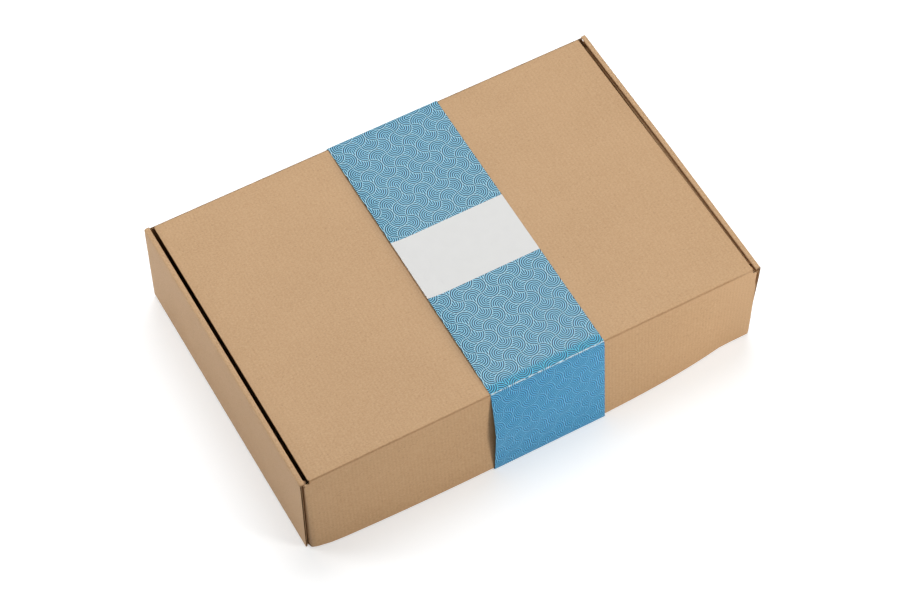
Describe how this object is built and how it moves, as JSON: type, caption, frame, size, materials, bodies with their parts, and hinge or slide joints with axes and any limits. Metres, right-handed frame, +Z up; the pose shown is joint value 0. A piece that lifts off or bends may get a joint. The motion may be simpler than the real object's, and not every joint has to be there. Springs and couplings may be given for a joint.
{
  "type": "roll-over mailer box with paper belly band",
  "caption": "Shallow closed mailer box folded from corrugated board, with a paper belly band round its middle.",
  "frame": {"origin": "on the resting plane (the band's underside), below the middle of the box", "axes": "+X along the box's length, the rear wall that carries the lid faces -Y, +Z up"},
  "size_m": [0.452, 0.3132, 0.1062],
  "materials": {
    "kraft_board": "matte uncoated kraft liner",
    "printed_paper": "satin printed paper",
    "bare_paper": "satin white paper"
  },
  "bodies": {
    "root": {"mailer_box": "kraft_board", "belly_band": "printed_paper", "white_field": "bare_paper"}
  },
  "joints": []
}
